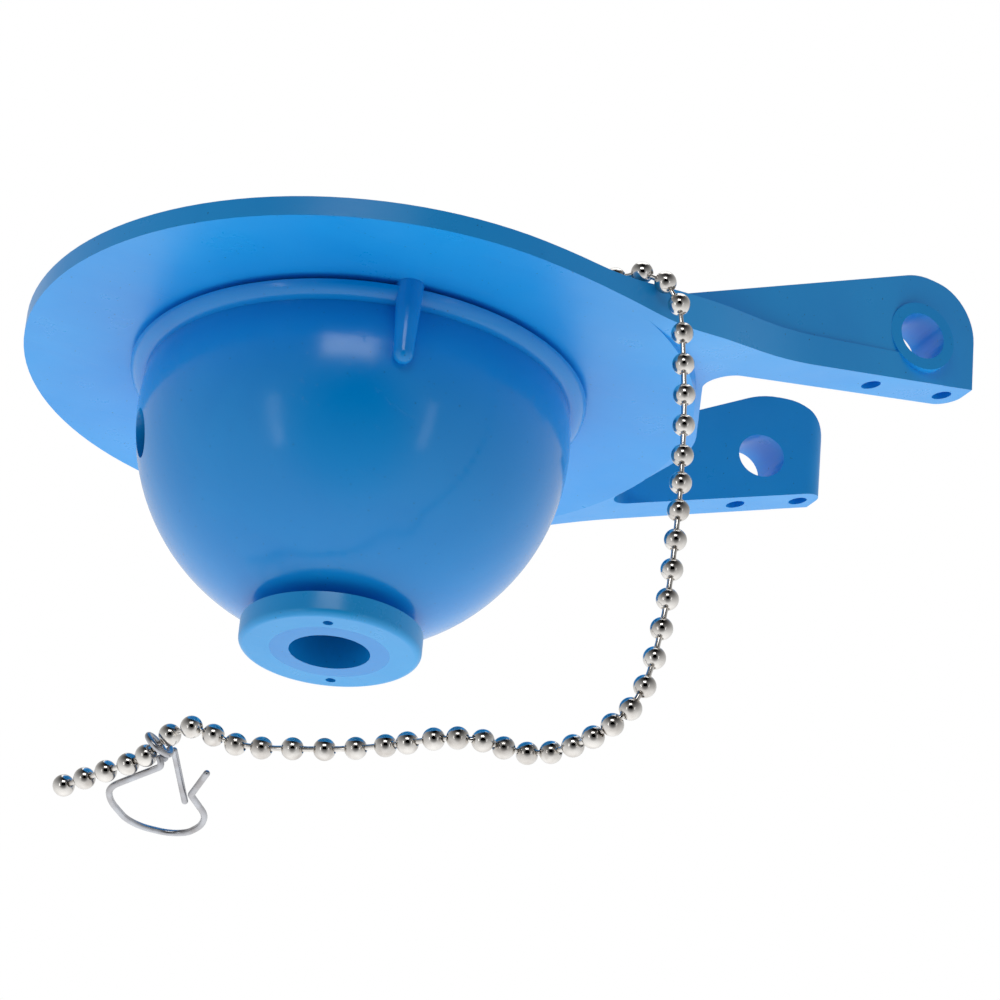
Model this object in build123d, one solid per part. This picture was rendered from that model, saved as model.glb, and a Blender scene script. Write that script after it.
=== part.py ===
# Toilet-tank flush-valve flapper: a float-bowl valve on two hinge arms, with its ball chain and wire clip.
# Millimetres. +Z is up, +X runs from the seat disc to the hinge ears, +Y runs along the hinge pins.
# The valve is closed: the disc lies level on its seat. The origin is the middle of the hinge axis.
from build123d import *
from math import atan2, cos, degrees, radians, sqrt, tan
import os

os.makedirs("parts", exist_ok=True)

# ---- Driving dimensions. Shapes are drawn about the underside of the disc's centre, then moved. ----
HINGE_X = 79.5          # hinge axis, from the disc's centre
HINGE_Z = 20.3          # hinge axis, above the disc's underside

DISC_RADIUS = 50.0
DISC_THICKNESS = 3.0

RAMP_RISE = 0.266       # slope of the arms, rise over run
RAMP_START_X = 31.0     # where the underside begins to rise
RAMP_TOP_START_X = 20.0 # where the upper side begins to rise
RAMP_TOP_RISE = 0.24
RAMP_BEND_RADIUS = 40.0
ARM_FRONT_X = 5.0       # the arms' sheet is let into the disc from here back
ARM_END_X = 90.7

# Where the arms' side edge leaves the disc's rim in plan, and its points to the straight part of the ears.
ARM_EDGE_START_X = 6.0
ARM_EDGE = [(19.5, 47.0), (40.6, 39.8), (60.5, 31.9)]
CUT_HEIGHT = 60.0       # taller than anything the plan outlines trim

# The trimmed rear edge between the arms, in plan: near corner, crown, far corner.
REAR_EDGE = [(42.8, -28.5), (57.9, 2.6), (53.8, 26.2)]
REAR_EDGE_RADII = [3.5, 20.0, 3.0]

EAR_THICKNESS = 6.5
EAR_GAP = 41.8          # between the ears' inner faces at the hinge axis
EAR_TOE_IN = 11.7       # degrees that each ear leans towards the other in plan
EAR_TOP_Z = 31.5
EAR_TOP_RISE = 0.49     # slope of the ear's long upper edge
EAR_TOP_START_X = 22.0
EAR_BACK_ROUND = 7.5
EAR_CREST_ROUND = 12.0
EAR_INNER_CORNER = 3.0

HINGE_BORE_RADIUS = 3.75
BOSS_RADIUS = 5.55
BOSS_FACE_Y = 28.7      # boss faces, square to the hinge axis

CORE_HOLE_RADIUS = 1.5  # blind holes left by the mould's cores in the ears' undersides
CORE_HOLE_DEPTH = 4.0
CORE_HOLES_NEAR = (72.6, 86.8)
CORE_HOLES_FAR = (77.2, 87.5)

POST_RADIUS = 2.7       # chain post on the disc's upper side
POST_HEIGHT = 6.2
POST_TOP_ROUND = 0.6
POCKET_RADIUS = 1.85    # room for one chain ball
MOUTH_RADIUS = 1.25     # the pocket's opening, narrower than a ball
SLOT_WIDTH = 1.4

BOWL_RADIUS = 32.1
BOWL_CENTRE_Z = -8.24
BOWL_WALL = 2.2
BOWL_LIP_TOP_RADIUS = 32.4
BOWL_LIP_RADIUS = 34.0  # rounded bead where the bowl meets the disc
BOWL_LIP_WALL = 1.0     # from the disc down to the bead's widest place
BOWL_LIP_DEPTH = 3.0
NECK_RADIUS = 8.73
ORIFICE_RADIUS = 5.92
VENT_RADIUS = 3.6
VENT_Z = -14.4
VENT_AZIMUTH = 168.0
RIB_AZIMUTH = -101.5
RIB_TOP_RADIUS = 2.0
RIB_TIP_RADIUS = 1.45
RIB_LENGTH = 11.1
RIB_STANDOFF = 33.0

RING_RADIUS = 13.3
RING_BOTTOM_Z = -43.5
RING_TOP_Z = -39.95
RING_EDGE_ROUND = 1.0
PIN_HOLE_RADIUS = 0.75
PIN_HOLE_PITCH_RADIUS = 10.3
PIN_HOLE_AZIMUTH = 65.0
PIN_HOLE_DEPTH = 3.0

BALL_RADIUS = 1.6       # 3.2 mm ball chain
BALL_WALL = 0.3
BALL_HOLE_RADIUS = 0.85
LINK_RADIUS = 0.5
LINK_HEAD_RADIUS = 0.95
LINK_LENGTH = 3.55      # between the middles of a link's two heads
FLOOR_Z = -66.6         # what the loose end of the chain lies on

WIRE_RADIUS = 0.48      # the clip's spring wire
COIL_RADIUS = 1.95      # centreline radius of the clip's coil round the chain
COIL_TURNS = 1.25       # from beside the chain, once round it, and on to the floor
COIL_GAP = 0.06         # between neighbouring turns


def place(shape):
    """Moves a shape from the disc's centre to the part's origin on the hinge axis."""
    return shape.moved(Location((-HINGE_X, 0, -HINGE_Z)))


def save(shape, name):
    shape.label = name
    export_step(shape, "parts/" + name + ".step")


# ---- The flapper's body: disc, rising arms, ears, bosses and chain post ----
def ear_face_y(x, offset):
    """Distance from the middle plane to an ear's face, offset outward from its inner face."""
    lean = tan(radians(EAR_TOE_IN))
    return EAR_GAP / 2 + offset / cos(radians(EAR_TOE_IN)) + lean * (HINGE_X - x)


def ramp_bottom(x):
    return RAMP_RISE * (x - RAMP_START_X)


def ramp_top(x):
    return DISC_THICKNESS + RAMP_TOP_RISE * (x - RAMP_TOP_START_X)


def side_prism(points, corners):
    """A side outline (X, Z), with some corners rounded, made as wide as the part."""
    width = 2 * DISC_RADIUS + 10
    outline = Polygon(*points, align=None)
    for corner, radius in corners:
        vertex = outline.vertices().sort_by_distance(Vector(corner[0], corner[1], 0))[0]
        outline = fillet(vertex, radius)
    face = Plane.XZ * outline
    return extrude(face, amount=width / 2, both=True)


def arms():
    """The sheet that rises from the disc to the ears, cut to its outline in plan."""
    far_x = ARM_END_X
    side = side_prism(
        [(ARM_FRONT_X, 0), (RAMP_START_X, 0), (far_x, ramp_bottom(far_x)), (far_x, ramp_top(far_x)),
         (RAMP_TOP_START_X, DISC_THICKNESS), (ARM_FRONT_X, DISC_THICKNESS)],
        [((RAMP_START_X, 0), RAMP_BEND_RADIUS), ((RAMP_TOP_START_X, DISC_THICKNESS), RAMP_BEND_RADIUS)],
    )
    end_y = ear_face_y(far_x, EAR_THICKNESS)
    rim_y = sqrt(DISC_RADIUS**2 - ARM_EDGE_START_X**2)
    slopes = [(1, -ARM_EDGE_START_X / rim_y), (1, -tan(radians(EAR_TOE_IN)))]
    edge = Spline((ARM_EDGE_START_X, rim_y), *ARM_EDGE, tangents=slopes)
    straight = Line(ARM_EDGE[-1], (far_x, end_y))
    end = Line((far_x, end_y), (far_x, 0))
    middle = Line((far_x, 0), (ARM_EDGE_START_X, 0))
    front = Line((ARM_EDGE_START_X, 0), (ARM_EDGE_START_X, rim_y))
    half = extrude(make_face([edge, straight, end, middle, front]), amount=CUT_HEIGHT, both=True)
    return side & (half + mirror(half, about=Plane.XZ))


def rear_cut():
    """The open space between the arms, behind the disc's rear edge."""
    far_x = ARM_END_X + 5
    points = [(far_x, -ear_face_y(far_x, 0))] + REAR_EDGE + [(far_x, ear_face_y(far_x, 0))]
    plan = Polygon(*points, align=None)
    for corner, radius in zip(REAR_EDGE, REAR_EDGE_RADII):
        vertex = plan.vertices().sort_by_distance(Vector(*corner, 0))[0]
        plan = fillet(vertex, radius)
    return extrude(plan, amount=CUT_HEIGHT, both=True)


def ear_strip(side):
    """One ear's slanted strip in plan, one for each side: -1 is the near ear and 1 the far ear."""
    start_x = EAR_TOP_START_X
    end_x = ARM_END_X
    points = [
        (start_x, side * ear_face_y(start_x, 0)),
        (end_x, side * ear_face_y(end_x, 0)),
        (end_x, side * ear_face_y(end_x, EAR_THICKNESS)),
        (start_x, side * ear_face_y(start_x, EAR_THICKNESS)),
    ]
    strip = Polygon(*points, align=None)
    corner = strip.vertices().sort_by_distance(Vector(*points[1], 0))[0]
    strip = fillet(corner, EAR_INNER_CORNER)
    return extrude(strip, amount=CUT_HEIGHT, both=True)


def ears():
    """The two upright plates, with their long sloping upper edges."""
    start_x = EAR_TOP_START_X
    crest_x = start_x + (EAR_TOP_Z - ramp_top(start_x)) / EAR_TOP_RISE
    side = side_prism(
        [(start_x, DISC_THICKNESS / 2), (RAMP_START_X + 6, ramp_bottom(RAMP_START_X + 6)),
         (ARM_END_X, ramp_bottom(ARM_END_X)), (ARM_END_X, EAR_TOP_Z), (crest_x, EAR_TOP_Z),
         (start_x, ramp_top(start_x))],
        [((ARM_END_X, EAR_TOP_Z), EAR_BACK_ROUND), ((crest_x, EAR_TOP_Z), EAR_CREST_ROUND)],
    )
    return (side & ear_strip(-1)) + (side & ear_strip(1))


def hinge_axis_cylinder(radius, from_y, to_y):
    """A cylinder on the hinge axis between two Y positions."""
    length = to_y - from_y
    middle = (from_y + to_y) / 2
    return Pos(HINGE_X, middle, HINGE_Z) * Rot(90, 0, 0) * Cylinder(radius, length)


def core_holes():
    """Blind holes up into the undersides of the ears, along the middle of each plate."""
    holes = Part()
    for side, places in ((-1, CORE_HOLES_NEAR), (1, CORE_HOLES_FAR)):
        for x in places:
            y = side * ear_face_y(x, EAR_THICKNESS / 2)
            top = ramp_bottom(x) + CORE_HOLE_DEPTH
            holes += Pos(x, y, top - CORE_HOLE_DEPTH) * Cylinder(CORE_HOLE_RADIUS, 2 * CORE_HOLE_DEPTH)
    return holes


def chain_post():
    """A stubby post whose pocket holds the chain's first ball; its slot faces the near edge."""
    post = Pos(0, 0, DISC_THICKNESS + POST_HEIGHT / 2) * Cylinder(POST_RADIUS, POST_HEIGHT)
    return fillet(post.edges().group_by(Axis.Z)[-1], POST_TOP_ROUND)


def chain_pocket():
    """The pocket for the ball, the narrower mouth above it, and the slot for the link."""
    top = DISC_THICKNESS + POST_HEIGHT
    ball_z = CHAIN_ROUTE[0][2]
    mouth_height = top - ball_z + 1
    heading = degrees(atan2(CHAIN_ROUTE[1][1], CHAIN_ROUTE[1][0]))
    mouth = Pos(0, 0, ball_z + mouth_height / 2) * Cylinder(MOUTH_RADIUS, mouth_height)
    slot_base = ball_z - SLOT_WIDTH / 2
    slot_height = top - slot_base + 1
    slot_reach = POST_RADIUS + 1
    slot = Pos(slot_reach / 2, 0, slot_base + slot_height / 2) * Box(slot_reach, SLOT_WIDTH, slot_height)
    return Pos(0, 0, ball_z) * Sphere(POCKET_RADIUS) + mouth + Rot(0, 0, heading) * slot


def arm_ends():
    """What the ears' rounded inner corners take off the sheet beneath them."""
    length = 2 * EAR_INNER_CORNER
    block = Pos(ARM_END_X - length / 2, 0, 0) * Box(length, 2 * DISC_RADIUS, 2 * CUT_HEIGHT)
    return block - ear_strip(-1) - ear_strip(1)


def flapper_body():
    disc = Pos(0, 0, DISC_THICKNESS / 2) * Cylinder(DISC_RADIUS, DISC_THICKNESS)
    body = disc + (arms() - rear_cut() - arm_ends()) + ears()
    face_y = BOSS_FACE_Y
    inner_y = EAR_GAP / 2 + EAR_THICKNESS / 2
    body += hinge_axis_cylinder(BOSS_RADIUS, inner_y, face_y)
    body += hinge_axis_cylinder(BOSS_RADIUS, -face_y, -inner_y)
    body -= hinge_axis_cylinder(HINGE_BORE_RADIUS, -face_y - 5, face_y + 5)
    body -= core_holes()
    return body + chain_post() - chain_pocket()


# ---- The float bowl and its ring ----
def bowl_lip():
    """The rounded bead round the bowl's wall, just under the disc."""
    foot_z = -BOWL_LIP_DEPTH
    foot_x = sqrt(BOWL_RADIUS**2 - (foot_z - BOWL_CENTRE_Z)**2)
    inside_x = BOWL_RADIUS - BOWL_WALL
    wall_end = (BOWL_LIP_RADIUS, -BOWL_LIP_WALL)
    across, down = BOWL_LIP_RADIUS - foot_x, BOWL_LIP_DEPTH - BOWL_LIP_WALL
    shoulder = (foot_x + 0.8 * across, foot_z + 0.45 * down)
    edges = [
        Line((inside_x, 0), (BOWL_LIP_TOP_RADIUS, 0)),
        Line((BOWL_LIP_TOP_RADIUS, 0), wall_end),
        ThreePointArc(wall_end, shoulder, (foot_x, foot_z)),
        Line((foot_x, foot_z), (inside_x, foot_z)),
        Line((inside_x, foot_z), (inside_x, 0)),
    ]
    return revolve(Plane.XZ * make_face(edges), Axis.Z)


def bowl_rib():
    """A tapered finger down the bowl's near side, with a rounded tip."""
    taper = Pos(0, 0, -RIB_LENGTH / 2) * Rot(180, 0, 0) * Cone(RIB_TOP_RADIUS, RIB_TIP_RADIUS, RIB_LENGTH)
    tip = Pos(0, 0, -RIB_LENGTH) * Sphere(RIB_TIP_RADIUS)
    return Rot(0, 0, RIB_AZIMUTH) * Pos(RIB_STANDOFF, 0, 0) * (taper + tip)


def float_bowl():
    centre = Pos(0, 0, BOWL_CENTRE_Z)
    block_size = 4 * BOWL_RADIUS
    above_disc = Pos(0, 0, block_size / 2) * Box(block_size, block_size, block_size)
    neck_length = BOWL_RADIUS * 0.6
    bowl = centre * Sphere(BOWL_RADIUS) + bowl_lip() + bowl_rib()
    bowl += Pos(0, 0, RING_BOTTOM_Z + neck_length / 2) * Cylinder(NECK_RADIUS, neck_length)
    bowl -= centre * Sphere(BOWL_RADIUS - BOWL_WALL)
    bowl -= above_disc
    bowl -= Pos(0, 0, RING_BOTTOM_Z) * Cylinder(ORIFICE_RADIUS, BOWL_RADIUS)
    vent = Pos(BOWL_RADIUS, 0, 0) * Rot(0, 90, 0) * Cylinder(VENT_RADIUS, BOWL_RADIUS / 2)
    return bowl - Pos(0, 0, VENT_Z) * Rot(0, 0, VENT_AZIMUTH) * vent


def bottom_ring():
    height = RING_TOP_Z - RING_BOTTOM_Z
    ring = Pos(0, 0, RING_BOTTOM_Z + height / 2) * Cylinder(RING_RADIUS, height)
    ring = fillet(ring.edges().group_by(Axis.Z)[0], RING_EDGE_ROUND)
    ring -= Pos(0, 0, RING_BOTTOM_Z) * Cylinder(NECK_RADIUS, 4 * height)
    for azimuth in (PIN_HOLE_AZIMUTH, PIN_HOLE_AZIMUTH + 180):
        hole = Pos(PIN_HOLE_PITCH_RADIUS, 0, RING_BOTTOM_Z) * Cylinder(PIN_HOLE_RADIUS, 2 * PIN_HOLE_DEPTH)
        ring -= Rot(0, 0, azimuth) * hole
    return ring


# ---- The ball chain ----
# Centreline: out of the post, over the disc's near edge, straight down, and along the floor.
CHAIN_ROUTE = [
    (0.0, 0.0, 5.0),
    (5.6, -17.2, 4.7),
    (15.5, -32.6, 4.8),
    (20.8, -41.4, 5.6),
    (24.3, -46.2, 6.0),
    (28.3, -47.9, 2.0),
    (29.4, -47.4, -4.6),
    (30.8, -47.2, -17.0),
    (30.6, -47.2, -39.0),
    (29.1, -46.8, -53.0),
    (26.9, -46.6, -60.8),
    (23.1, -43.4, -65.0),
    (21.9, -36.9, -65.0),
    (19.9, -31.9, -65.0),
    (15.8, -30.8, -65.0),
    (10.9, -32.2, -65.0),
    (6.2, -29.4, -65.0),
    (2.6, -23.4, -65.0),
    (-3.4, -16.2, -65.0),
    (-10.8, -11.4, -65.0),
    (-14.6, -6.9, -64.4),
    (-21.3, -4.0, -61.4),
    (-22.0, 0.9, -61.5),
    (-24.2, 3.8, -65.0),
    (-27.4, 12.4, -65.0),
    (-30.1, 20.9, -65.0),
]

# Links along the route, as (how many, spacing): drawn taut in the hang, pushed together where it lies.
CHAIN_LINKS = [(12, 4.24), (2, 3.92), (1, 4.4), (4, 4.7), (2, 4.26), (6, 4.55), (1, 3.86), (2, 3.3), (2, 4.2),
               (5, 3.48), (1, 4.2), (1, 3.45), (4, 4.54), (1, 4.0), (2, 3.45), (2, 4.68), (1, 3.6), (3, 4.78)]
BALLS_PAST_CLIP = 5
ARC_SHARE = 0.45        # of the shorter run beside a corner, taken up by its arc


def arc_radii(route):
    """The arcs at a route's corners, nearly as large as its straight runs allow."""
    radii = []
    for before, corner, after in zip(route, route[1:], route[2:]):
        run_in = corner - before
        run_out = after - corner
        half_turn = radians(run_in.get_angle(run_out)) / 2
        radii.append(ARC_SHARE * min(run_in.length, run_out.length) / tan(half_turn))
    return radii


def chain_path():
    """The route's straight runs, joined by arcs."""
    route = [Vector(*point) for point in CHAIN_ROUTE]
    radii = arc_radii(route)
    print("chain arc radii:", [round(radius, 1) for radius in radii])
    return FilletPolyline(*route, radius=radii)


def ball_centres():
    """The middle of every ball, from the one in the post to the free end."""
    path = chain_path()
    stations = [0.0]
    for count, spacing in CHAIN_LINKS:
        for _ in range(count):
            stations.append(stations[-1] + spacing)
    print("chain length:", round(path.length, 1), "of links:", round(stations[-1], 1), "balls:", len(stations))
    return [path.position_at(station / stations[-1]) for station in stations]


def ball_frame(centre, before, after):
    """The ball's own axes: Z towards the ball after it, and the way back leaning to -X."""
    ahead = (after - centre).normalized() if after is not None else (centre - before).normalized()
    back = (before - centre).normalized() if before is not None else -ahead
    lean = back - ahead * back.dot(ahead)
    side = -lean if lean.length > 0.01 else ahead.cross(Vector(0.3, 0.2, 0.9))
    return Plane(origin=centre, x_dir=side.normalized(), z_dir=ahead), back


def chain_ball(centre, before, after):
    """A hollow ball, open towards the ball before it, with the link that reaches into the ball after it."""
    frame, back = ball_frame(centre, before, after)
    inner_radius = BALL_RADIUS - BALL_WALL
    ball = Rot(90, 0, 0) * (Sphere(BALL_RADIUS) - Sphere(inner_radius))
    if before is not None:
        tilt = frame.z_dir.get_angle(back)
        ball -= Rot(0, -tilt, 0) * Pos(0, 0, BALL_RADIUS) * Cylinder(BALL_HOLE_RADIUS, BALL_RADIUS)
    if after is not None:
        spacing = (after - centre).length
        head_at = spacing - max(0, (spacing - LINK_LENGTH) / 2)
        shaft_base = inner_radius + BALL_WALL / 4
        shaft_length = head_at - shaft_base
        ball += Pos(0, 0, shaft_base + shaft_length / 2) * Cylinder(LINK_RADIUS, shaft_length)
        ball += Pos(0, 0, head_at) * Sphere(LINK_HEAD_RADIUS)
    return frame.location * ball


# ---- The wire clip on the chain's loose end ----
# Points in plan from the disc's centre; the bow lies on the floor.
CLIP_BOW = [(-22.2, 2.2), (-25.5, 14.6), (-23.3, 19.6), (-18.9, 24.8), (-15.8, 26.4), (-11.7, 26.3),
            (-9.4, 24.5), (-8.8, 20.5), (-9.9, 16.1), (-14.7, 9.9), (-16.0, 0.8)]
CLIP_SHARP_RADII = (0.9, 1.2)   # at the bow's two sharp bends: beside the coil and at the hooked end
CLIP_GATE_TIP = (-14.5, 12.7)
GATE_CLEARANCE = 0.1    # between the gate leg and the coil


def wire_along(path):
    """Spring wire swept along a path."""
    section = Plane(origin=path @ 0, z_dir=path % 0) * Circle(WIRE_RADIUS)
    return sweep(section, path=path)


def coil_frame(balls):
    """The coil's own axes: its middle between two balls, Z along the chain, X level and Y downward."""
    index = len(balls) - BALLS_PAST_CLIP - 1
    heading = (balls[index + 1] - balls[index]).normalized()
    middle = (balls[index] + balls[index + 1]) / 2
    return Plane(origin=middle, x_dir=heading.cross(Vector(0, 0, 1)), z_dir=heading)


def coil_length():
    """How far the coil's wire runs on along the chain."""
    return (2 * WIRE_RADIUS + COIL_GAP) * COIL_TURNS


def clip_bow(balls):
    """The coil round the chain and the long bow that comes back to a short hooked end."""
    frame = coil_frame(balls)
    height = coil_length()
    coil = frame.location * Pos(0, 0, -height / 2) * wire_along(Helix(height / COIL_TURNS, height, COIL_RADIUS))
    start = frame.from_local_coords(Vector(0, COIL_RADIUS, height / 2))
    points = [start] + [Vector(x, y, FLOOR_Z + WIRE_RADIUS) for x, y in CLIP_BOW]
    radii = arc_radii(points)
    radii[0], radii[-1] = CLIP_SHARP_RADII
    bow = wire_along(FilletPolyline(*points, radius=radii))
    joint = Location(start) * Sphere(WIRE_RADIUS)
    tip = Location(points[-1]) * Sphere(WIRE_RADIUS)
    return coil + joint + bow + tip


def gate_root(balls):
    """Where the gate leg begins, just clear of the coil's first turn."""
    reach = COIL_RADIUS + 2 * WIRE_RADIUS + GATE_CLEARANCE
    return coil_frame(balls).from_local_coords(Vector(reach, 0, -coil_length() / 2))


def clip_gate(balls):
    """The straight sprung leg that closes the bow."""
    start = gate_root(balls)
    tip = Vector(*CLIP_GATE_TIP, FLOOR_Z + WIRE_RADIUS)
    leg = wire_along(Line(start, tip))
    return leg + Location(tip) * Sphere(WIRE_RADIUS) + Location(start) * Sphere(WIRE_RADIUS)


balls = ball_centres()
save(place(flapper_body()), "flapper_body")
save(place(float_bowl()), "float_bowl")
save(place(bottom_ring()), "bottom_ring")
save(place(clip_bow(balls)), "clip_bow")
save(place(clip_gate(balls)), "clip_gate")
for number, centre in enumerate(balls, start=1):
    before = balls[number - 2] if number > 1 else None
    after = balls[number] if number < len(balls) else None
    save(place(chain_ball(centre, before, after)), f"chain_ball_{number:02d}")
coil = coil_frame(balls)
shift = Vector(-HINGE_X, 0, -HINGE_Z)
print("coil middle:", coil.origin + shift, "chain heading:", coil.z_dir, "gate root:", gate_root(balls) + shift)
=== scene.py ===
# A flush-valve flapper in blue plastic, with its steel bead chain and wire clip: looks, light and camera.
# Metres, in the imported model's frame: +X runs from the seat disc to the hinge ears, +Z is up.
from math import cos, pi, radians, sin

import bmesh
import bpy
from mathutils import Matrix, Vector


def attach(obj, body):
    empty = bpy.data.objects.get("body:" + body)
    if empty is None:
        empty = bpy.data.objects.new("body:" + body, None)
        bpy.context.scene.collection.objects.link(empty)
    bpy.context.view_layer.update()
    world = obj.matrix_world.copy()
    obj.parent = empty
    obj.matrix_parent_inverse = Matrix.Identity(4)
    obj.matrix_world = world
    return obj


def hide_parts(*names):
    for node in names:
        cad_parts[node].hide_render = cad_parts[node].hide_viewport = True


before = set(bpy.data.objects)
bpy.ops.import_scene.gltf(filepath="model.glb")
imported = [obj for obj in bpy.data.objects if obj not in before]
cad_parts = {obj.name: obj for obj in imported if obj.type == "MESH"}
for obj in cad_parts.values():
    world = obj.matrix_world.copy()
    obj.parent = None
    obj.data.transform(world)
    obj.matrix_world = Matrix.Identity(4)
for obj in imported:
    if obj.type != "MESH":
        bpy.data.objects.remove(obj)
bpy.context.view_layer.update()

MM = 0.001

# ---- Camera: below the disc and in front of it, looking up towards the hinge ears ----
CAMERA_AT = Vector((-0.2696, -0.4844, -0.2878))
CAMERA_LOOKS = Vector((0.3640, 0.8238, 0.4346))
CAMERA_UP = Vector((-0.2593, -0.3586, 0.8968))
CAMERA_LENS_MM = 141.43
CAMERA_SENSOR_MM = 36
CAMERA_NEAREST = 0.01
CAMERA_SHIFT = (0.0038, -0.0013)


def make_camera():
    data = bpy.data.cameras.new("camera")
    data.lens = CAMERA_LENS_MM
    data.sensor_width = CAMERA_SENSOR_MM
    data.shift_x, data.shift_y = CAMERA_SHIFT
    data.clip_start = CAMERA_NEAREST
    camera = bpy.data.objects.new("camera", data)
    bpy.context.collection.objects.link(camera)
    back = -CAMERA_LOOKS.normalized()
    right = CAMERA_UP.cross(back).normalized()
    up = back.cross(right)
    turn = Matrix((right, up, back)).transposed().to_4x4()
    camera.matrix_world = Matrix.Translation(CAMERA_AT) @ turn
    bpy.context.scene.camera = camera


make_camera()

# ---- The bead chain ----
# Its centreline: out of the post, over the disc's rim, down, and along what the valve hangs over.
CHAIN_ROUTE = [
    (-0.0795, 0.0000, -0.0153),
    (-0.0739, -0.0172, -0.0156),
    (-0.0640, -0.0326, -0.0155),
    (-0.0587, -0.0414, -0.0147),
    (-0.0552, -0.0462, -0.0143),
    (-0.0512, -0.0479, -0.0183),
    (-0.0501, -0.0474, -0.0249),
    (-0.0487, -0.0472, -0.0373),
    (-0.0489, -0.0472, -0.0593),
    (-0.0504, -0.0468, -0.0733),
    (-0.0526, -0.0466, -0.0811),
    (-0.0564, -0.0434, -0.0853),
    (-0.0576, -0.0369, -0.0853),
    (-0.0596, -0.0319, -0.0853),
    (-0.0637, -0.0308, -0.0853),
    (-0.0686, -0.0322, -0.0853),
    (-0.0733, -0.0294, -0.0853),
    (-0.0769, -0.0234, -0.0853),
    (-0.0829, -0.0162, -0.0853),
    (-0.0903, -0.0114, -0.0853),
    (-0.0941, -0.0069, -0.0847),
    (-0.1008, -0.0040, -0.0817),
    (-0.1015, 0.0009, -0.0818),
    (-0.1037, 0.0038, -0.0853),
    (-0.1069, 0.0124, -0.0853),
    (-0.1096, 0.0209, -0.0853),
]

# Links along the chain, as (how many, spacing in mm): taut where it hangs, pushed together where it lies.
CHAIN_LINKS = [(12, 4.24), (2, 3.92), (1, 4.4), (4, 4.7), (2, 4.26), (6, 4.55), (1, 3.86), (2, 3.3), (2, 4.2),
               (5, 3.48), (1, 4.2), (1, 3.45), (4, 4.54), (1, 4.0), (2, 3.45), (2, 4.68), (1, 3.6), (3, 4.78)]
BEAD_RADIUS = 1.6 * MM
BEAD_HOLE_RADIUS = 0.62 * MM
BEAD_SEAM_DEPTH = 0.03 * MM
BEAD_SIDES = 36
BEAD_RINGS = 20
LINK_RADIUS = 0.42 * MM
LINK_WAIST = 0.92       # a link's radius at its middle, as a share of its radius at the beads
LINK_ENTRY = 0.86       # where a link's drawn end stops inside a bead, as a share of the bead's radius
LINK_SIDES = 12
ROUTE_STEPS = 24        # points on the centreline between two route points


def route_line(points):
    """The points of the smooth centreline through a route."""
    curve = bpy.data.curves.new("route", "CURVE")
    curve.dimensions = "3D"
    curve.resolution_u = ROUTE_STEPS
    spline = curve.splines.new("NURBS")
    spline.points.add(len(points) - 1)
    for spot, point in zip(spline.points, points):
        spot.co = (*point, 1)
    spline.order_u = 3
    spline.use_endpoint_u = True
    holder = bpy.data.objects.new("route", curve)
    bpy.context.collection.objects.link(holder)
    mesh = bpy.data.meshes.new_from_object(holder)
    line = [v.co.copy() for v in mesh.vertices]
    bpy.data.objects.remove(holder)
    return line


class Line:
    """A polyline that can be read at a distance along it."""

    def __init__(self, points):
        self.points = points
        self.at = [0.0]
        for a, b in zip(points, points[1:]):
            self.at.append(self.at[-1] + (b - a).length)
        self.length = self.at[-1]

    def point(self, distance):
        for i in range(1, len(self.points)):
            if distance <= self.at[i] or i == len(self.points) - 1:
                share = (distance - self.at[i - 1]) / (self.at[i] - self.at[i - 1])
                return self.points[i - 1].lerp(self.points[i], min(1.0, share))


def turned_about(axis, profile, sides, bm, centre, seam=0.0):
    """Adds a closed surface of revolution: profile is (radius, along) pairs from one pole to the other.
    A seam sinks one line of points, deepest at the widest place."""
    side = axis.orthogonal().normalized()
    other = axis.cross(side)
    rings = []
    for radius, along in profile:
        ring = []
        for k in range(sides):
            turn = 2 * pi * k / sides
            sunk = seam * radius / BEAD_RADIUS if k == 0 else 0.0
            spoke = side * cos(turn) + other * sin(turn)
            ring.append(bm.verts.new(centre + axis * along + spoke * (radius - sunk)))
        rings.append(ring)
    for low, high in zip(rings, rings[1:]):
        for k in range(sides):
            bm.faces.new((low[k], low[(k + 1) % sides], high[(k + 1) % sides], high[k]))
    bm.faces.new(list(reversed(rings[0])))
    bm.faces.new(rings[-1])


def bead_profile():
    """Half outline of a bead: a sunk floor, a rolled lip round the hole, and the ball."""
    hole_angle = BEAD_HOLE_RADIUS / BEAD_RADIUS
    lip = BEAD_HOLE_RADIUS * 0.86
    floor = -cos(hole_angle) * BEAD_RADIUS
    start = [(lip, floor + 0.22 * MM), (lip, floor + 0.06 * MM)]
    ball = []
    for i in range(BEAD_RINGS + 1):
        angle = hole_angle + (pi - 2 * hole_angle) * i / BEAD_RINGS
        ball.append((sin(angle) * BEAD_RADIUS, -cos(angle) * BEAD_RADIUS))
    end = [(r, -a) for r, a in reversed(start)]
    return start + ball + end


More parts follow.
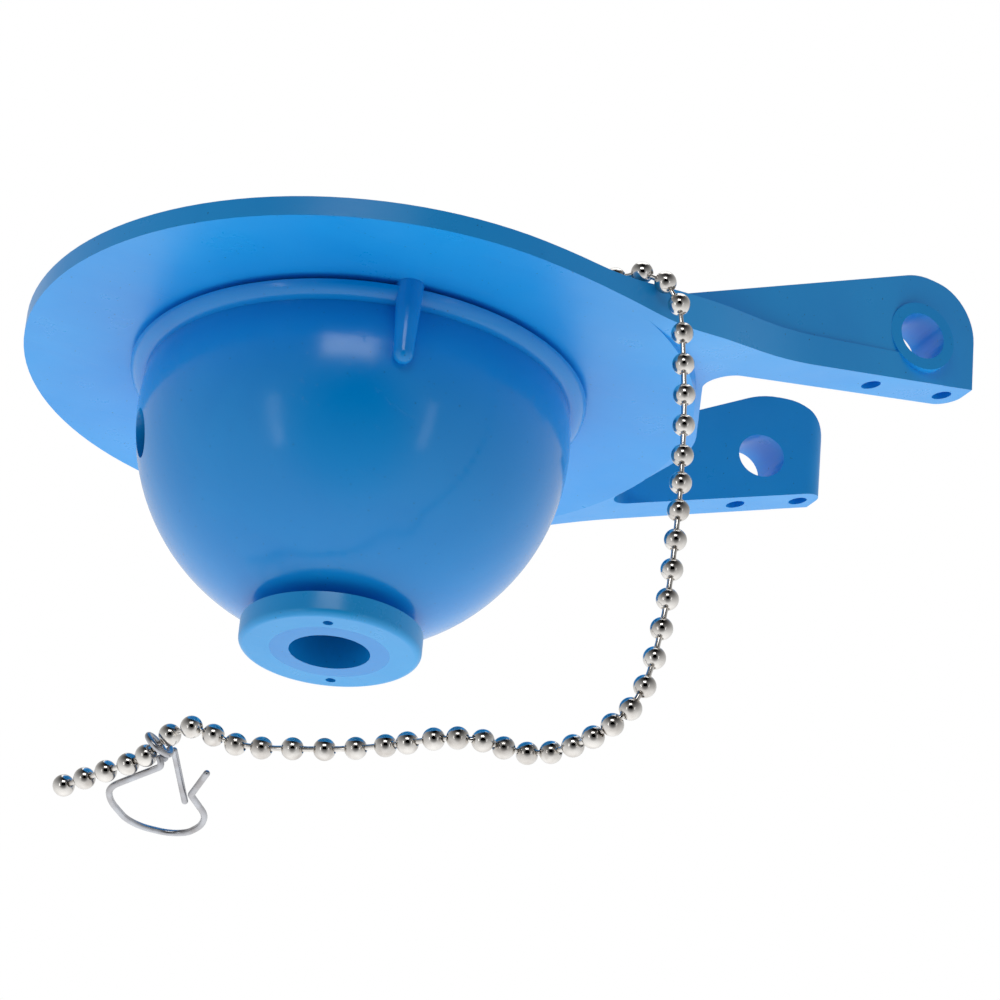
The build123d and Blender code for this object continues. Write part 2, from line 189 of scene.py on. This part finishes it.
def bead_chain():
    """Every bead and link of the chain as one mesh, along its centreline."""
    line = Line(route_line([Vector(p) for p in CHAIN_ROUTE]))
    stations = [0.0]
    for count, spacing in CHAIN_LINKS:
        for _ in range(count):
            stations.append(stations[-1] + spacing * MM)
    stretch = line.length / stations[-1]
    centres = [line.point(s * stretch) for s in stations]
    bm = bmesh.new()
    profile = bead_profile()
    for i, centre in enumerate(centres):
        before = centres[max(0, i - 1)]
        after = centres[min(len(centres) - 1, i + 1)]
        axis = (after - before).normalized()
        turned_about(axis, profile, BEAD_SIDES, bm, centre, seam=BEAD_SEAM_DEPTH)
    for a, b in zip(centres, centres[1:]):
        gap = (b - a).length / 2
        reach = gap - BEAD_RADIUS * LINK_ENTRY
        neck = [(LINK_RADIUS, -reach), (LINK_RADIUS * LINK_WAIST, 0.0), (LINK_RADIUS, reach)]
        turned_about((b - a).normalized(), neck, LINK_SIDES, bm, (a + b) / 2)
    bmesh.ops.recalc_face_normals(bm, faces=bm.faces)
    mesh = bpy.data.meshes.new("bead_chain")
    bm.to_mesh(mesh)
    mesh.shade_smooth()
    mesh.set_sharp_from_angle(angle=radians(50))
    chain = bpy.data.objects.new("bead_chain", mesh)
    bpy.context.collection.objects.link(chain)
    return chain, line


chain, chain_line = bead_chain()
balls = [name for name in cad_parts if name.startswith("chain_ball_")]
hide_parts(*balls)
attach(chain, "valve")


# ---- Materials ----
class Nodes:
    """A material's node tree, with short calls for the nodes used here."""

    def __init__(self, name):
        self.material = bpy.data.materials.new(name)
        self.material.use_nodes = True
        self.tree = self.material.node_tree
        self.shader = self.tree.nodes["Principled BSDF"]
        self.place = self.add("ShaderNodeTexCoord").outputs["Object"]

    def add(self, kind, **settings):
        node = self.tree.nodes.new(kind)
        for key, value in settings.items():
            setattr(node, key, value)
        return node

    def link(self, source, target):
        self.tree.links.new(source, target)

    def noise(self, scale, detail=3.0, stretch=(1, 1, 1), distortion=0.0, rough=0.5):
        mapping = self.add("ShaderNodeMapping")
        mapping.inputs["Scale"].default_value = stretch
        self.link(self.place, mapping.inputs["Vector"])
        node = self.add("ShaderNodeTexNoise")
        node.inputs["Scale"].default_value = scale
        node.inputs["Detail"].default_value = detail
        node.inputs["Roughness"].default_value = rough
        node.inputs["Distortion"].default_value = distortion
        self.link(mapping.outputs["Vector"], node.inputs["Vector"])
        return node.outputs["Fac"]

    def range(self, value, low, high, to_low=0.0, to_high=1.0):
        node = self.add("ShaderNodeMapRange")
        node.inputs["From Min"].default_value = low
        node.inputs["From Max"].default_value = high
        node.inputs["To Min"].default_value = to_low
        node.inputs["To Max"].default_value = to_high
        self.link(value, node.inputs["Value"])
        return node.outputs["Result"]

    def mix(self, factor, a, b, blend="MIX"):
        node = self.add("ShaderNodeMix", data_type="RGBA", blend_type=blend)
        self.link(factor, node.inputs["Factor"])
        for socket, colour in ((node.inputs[6], a), (node.inputs[7], b)):
            if isinstance(colour, tuple):
                socket.default_value = (*colour, 1)
            else:
                self.link(colour, socket)
        return node.outputs[2]

    def bump(self, height, distance, strength=1.0, after=None):
        node = self.add("ShaderNodeBump")
        node.inputs["Distance"].default_value = distance
        node.inputs["Strength"].default_value = strength
        self.link(height, node.inputs["Height"])
        if after is not None:
            self.link(after, node.inputs["Normal"])
        return node.outputs["Normal"]


BOWL_CENTRE = (-0.0795, 0.0, -0.02854)
# Painted shade on the bowl's inner wall: fully dark within the first distance, none beyond the second.
INSIDE_SHADE_FULL, INSIDE_SHADE_NONE = 30.3 * MM, 31.0 * MM     # distances from the bowl's centre, within its wall
SPECK_TONE = (0.004, 0.05, 0.16)
# The dark blue painted inside the bowl as painted shade.
INSIDE_SHADE_TONE = (0.002, 0.05, 0.22)


def plastic(name, colour, deep, roughness, bend=1.5, shaded_inside=False):
    """Moulded plastic: slow tone drift, flow marks, specks, fine scratches and a faint orange peel.
    The bowl's plastic also gets painted shade: a dark blue painted on its inner wall, where shade falls
    inside the hollow bowl."""
    n = Nodes(name)
    drift = n.range(n.noise(38, detail=2), 0.3, 0.7)
    tone = n.mix(drift, colour, deep)
    flow = n.range(n.noise(22, detail=5, stretch=(1, 3.2, 1), distortion=2.4), 0.47, 0.60)
    flow_tone = n.mix(flow, (1.0, 1.0, 1.0), (0.86, 0.95, 0.98))
    faint = n.add("ShaderNodeMix", data_type="RGBA", blend_type="MULTIPLY")
    faint.inputs["Factor"].default_value = 0.55
    n.link(tone, faint.inputs[6])
    n.link(flow_tone, faint.inputs[7])
    specks = n.range(n.noise(2600, detail=1), 0.765, 0.80)
    shown = n.mix(specks, faint.outputs[2], SPECK_TONE)
    # Painted shade: the bowl's inner wall is mixed towards a dark blue, standing in for the shade inside the
    # hollow.
    if shaded_inside:
        reach = n.add("ShaderNodeVectorMath", operation="DISTANCE")
        reach.inputs[1].default_value = BOWL_CENTRE
        n.link(n.place, reach.inputs[0])
        dark_film_and_inside_shade = n.range(reach.outputs["Value"], INSIDE_SHADE_FULL, INSIDE_SHADE_NONE, 1.0, 0.0)
        shown = n.mix(dark_film_and_inside_shade, shown, INSIDE_SHADE_TONE)
    n.link(shown, n.shader.inputs["Base Color"])
    wear = n.range(n.noise(90, detail=6, rough=0.65), 0.35, 0.75, roughness - 0.05, roughness + 0.10)
    n.link(wear, n.shader.inputs["Roughness"])
    peel = n.bump(n.noise(700, detail=2), 0.02 * MM, 0.5)
    scratch = n.range(n.noise(60, detail=8, stretch=(1.5, 26, 9), rough=0.7), 0.62, 0.70)
    n.link(n.bump(scratch, -0.02 * MM, 0.6, after=peel), n.shader.inputs["Normal"])
    n.shader.inputs["IOR"].default_value = bend
    return n.material


def polished_steel(name):
    """Bright stainless balls, with fine rubbing marks and a darker film in places."""
    n = Nodes(name)
    dark_film_and_inside_shade = n.range(n.noise(420, detail=4), 0.42, 0.70)
    n.link(n.mix(dark_film_and_inside_shade, (0.74, 0.72, 0.69), (0.50, 0.47, 0.44)), n.shader.inputs["Base Color"])
    n.link(n.range(n.noise(900, detail=5), 0.3, 0.8, 0.10, 0.26), n.shader.inputs["Roughness"])
    n.link(n.bump(n.noise(1500, detail=3), 0.01 * MM, 0.5), n.shader.inputs["Normal"])
    n.shader.inputs["Metallic"].default_value = 1.0
    return n.material


def spring_wire(name):
    """Drawn spring wire: greyer, with fine die lines and a slight blue-brown cast."""
    n = Nodes(name)
    cast = n.range(n.noise(260, detail=4), 0.35, 0.7)
    n.link(n.mix(cast, (0.50, 0.52, 0.56), (0.36, 0.35, 0.36)), n.shader.inputs["Base Color"])
    n.link(n.range(n.noise(1400, detail=4), 0.3, 0.7, 0.20, 0.38), n.shader.inputs["Roughness"])
    n.link(n.bump(n.noise(3000, detail=3), 0.008 * MM, 0.6), n.shader.inputs["Normal"])
    n.shader.inputs["Metallic"].default_value = 1.0
    return n.material


def paint(node, material):
    """Gives an object one material, whatever it had."""
    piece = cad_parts.get(node) or bpy.data.objects[node]
    if not piece.material_slots:
        piece.data.materials.append(None)
    for place in piece.material_slots:
        place.link = "OBJECT"
        place.material = material


BODY_BLUE, BODY_DEEP = (0.012, 0.37, 0.90), (0.009, 0.33, 0.85)
BOWL_BLUE, BOWL_DEEP = (0.006, 0.30, 0.79), (0.004, 0.27, 0.74)
RING_BLUE, RING_DEEP = (0.012, 0.38, 0.84), (0.009, 0.34, 0.82)
paint("flapper_body", plastic("body_plastic", BODY_BLUE, BODY_DEEP, 0.32))
# The bowl's plastic carries painted shade on its inner wall.
paint("float_bowl", plastic("bowl_plastic", BOWL_BLUE, BOWL_DEEP, 0.17, bend=1.44, shaded_inside=True))
paint("bottom_ring", plastic("ring_plastic", RING_BLUE, RING_DEEP, 0.30))
chain.data.materials.append(polished_steel("bead_steel"))
wire_steel = spring_wire("wire_steel")
paint("clip_bow", wire_steel)
paint("clip_gate", wire_steel)


# ---- Stage: pale floor, even pale surroundings, soft lights ----
FLOOR_Z = -0.0869
FLOOR_HALF = 3.0
MIDDLE = Vector((-0.0795, 0.0, -0.030))


def make_floor():
    """A pale floor under the chain's loose end, seen only from above."""
    mesh = bpy.data.meshes.new("floor")
    corners = [(-1, -1), (1, -1), (1, 1), (-1, 1)]
    mesh.from_pydata([(x * FLOOR_HALF, y * FLOOR_HALF, FLOOR_Z) for x, y in corners], [], [(0, 1, 2, 3)])
    floor = bpy.data.objects.new("floor", mesh)
    bpy.context.collection.objects.link(floor)
    n = Nodes("floor_white")
    shade = n.range(n.noise(6, detail=3), 0.3, 0.7)
    n.link(n.mix(shade, (0.86, 0.86, 0.86), (0.83, 0.83, 0.84)), n.shader.inputs["Base Color"])
    n.shader.inputs["Roughness"].default_value = 0.9
    clear = n.add("ShaderNodeBsdfTransparent")
    sides = n.add("ShaderNodeMixShader")
    n.link(n.add("ShaderNodeNewGeometry").outputs["Backfacing"], sides.inputs[0])
    n.link(n.shader.outputs[0], sides.inputs[1])
    n.link(clear.outputs[0], sides.inputs[2])
    n.link(sides.outputs[0], n.tree.nodes["Material Output"].inputs["Surface"])
    mesh.materials.append(n.material)
    floor.visible_diffuse = False
    floor.visible_glossy = False
    floor.visible_shadow = False


BRIGHT_SIDE = Vector((0.20, 0.50, -0.84)).normalized()
AROUND_MEAN = 0.65
AROUND_SWING = 0.66
DARK_FRONT = Vector((-0.364, -0.824, -0.435)).normalized()
DARK_DEPTH = 0.48
DARK_EDGE, DARK_CORE = 0.72, 0.98   # cosines from the dim direction where it starts and where it is full


def make_surroundings():
    """White where it is seen; as light, brighter from below and behind, and dim straight in front."""
    world = bpy.data.worlds.new("studio")
    bpy.context.scene.world = world
    world.use_nodes = True
    tree = world.node_tree
    tree.nodes.clear()
    place = tree.nodes.new("ShaderNodeTexCoord")
    facing = tree.nodes.new("ShaderNodeVectorMath")
    facing.operation = "DOT_PRODUCT"
    facing.inputs[1].default_value = BRIGHT_SIDE
    tree.links.new(place.outputs["Generated"], facing.inputs[0])
    level = tree.nodes.new("ShaderNodeMath")
    level.operation = "MULTIPLY_ADD"
    level.inputs[1].default_value = AROUND_SWING
    level.inputs[2].default_value = AROUND_MEAN
    tree.links.new(facing.outputs["Value"], level.inputs[0])
    front = tree.nodes.new("ShaderNodeVectorMath")
    front.operation = "DOT_PRODUCT"
    front.inputs[1].default_value = DARK_FRONT
    tree.links.new(place.outputs["Generated"], front.inputs[0])
    dark = tree.nodes.new("ShaderNodeMapRange")
    dark.interpolation_type = "SMOOTHSTEP"
    dark.inputs["From Min"].default_value = DARK_EDGE
    dark.inputs["From Max"].default_value = DARK_CORE
    dark.inputs["To Max"].default_value = DARK_DEPTH
    tree.links.new(front.outputs["Value"], dark.inputs["Value"])
    dimmed = tree.nodes.new("ShaderNodeMath")
    dimmed.operation = "SUBTRACT"
    tree.links.new(level.outputs[0], dimmed.inputs[0])
    tree.links.new(dark.outputs["Result"], dimmed.inputs[1])
    light = tree.nodes.new("ShaderNodeBackground")
    light.inputs["Color"].default_value = (1, 1, 1, 1)
    tree.links.new(dimmed.outputs[0], light.inputs["Strength"])
    seen = tree.nodes.new("ShaderNodeBackground")
    seen.inputs["Color"].default_value = (1, 1, 1, 1)
    rays = tree.nodes.new("ShaderNodeLightPath")
    pick = tree.nodes.new("ShaderNodeMixShader")
    tree.links.new(rays.outputs["Is Camera Ray"], pick.inputs[0])
    tree.links.new(light.outputs[0], pick.inputs[1])
    tree.links.new(seen.outputs[0], pick.inputs[2])
    output = tree.nodes.new("ShaderNodeOutputWorld")
    tree.links.new(pick.outputs[0], output.inputs[0])


def soft_light(name, azimuth, elevation, distance, size, radiance):
    """A softbox that faces the bowl, as bright to look at as radiance says."""
    data = bpy.data.lights.new(name, "AREA")
    data.shape = "RECTANGLE"
    data.size, data.size_y = size
    data.energy = radiance * pi * size[0] * size[1]
    lamp = bpy.data.objects.new(name, data)
    bpy.context.collection.objects.link(lamp)
    a, e = radians(azimuth), radians(elevation)
    way = Vector((cos(a) * cos(e), sin(a) * cos(e), sin(e)))
    lamp.location = MIDDLE + way * distance
    lamp.rotation_euler = way.to_track_quat("Z", "Y").to_euler()
    lamp.visible_camera = False


make_floor()
make_surroundings()
soft_light("window_box", -118, 20, 0.9, (0.42, 0.20), 4.2)
soft_light("side_strip_left", -155, -17, 0.9, (0.08, 0.38), 2.0)
soft_light("side_strip_right", -73, -13, 0.9, (0.08, 0.38), 1.1)
soft_light("overhead_box", 60, 80, 1.0, (0.8, 0.8), 1.6)
bpy.context.scene.view_settings.view_transform = "Standard"
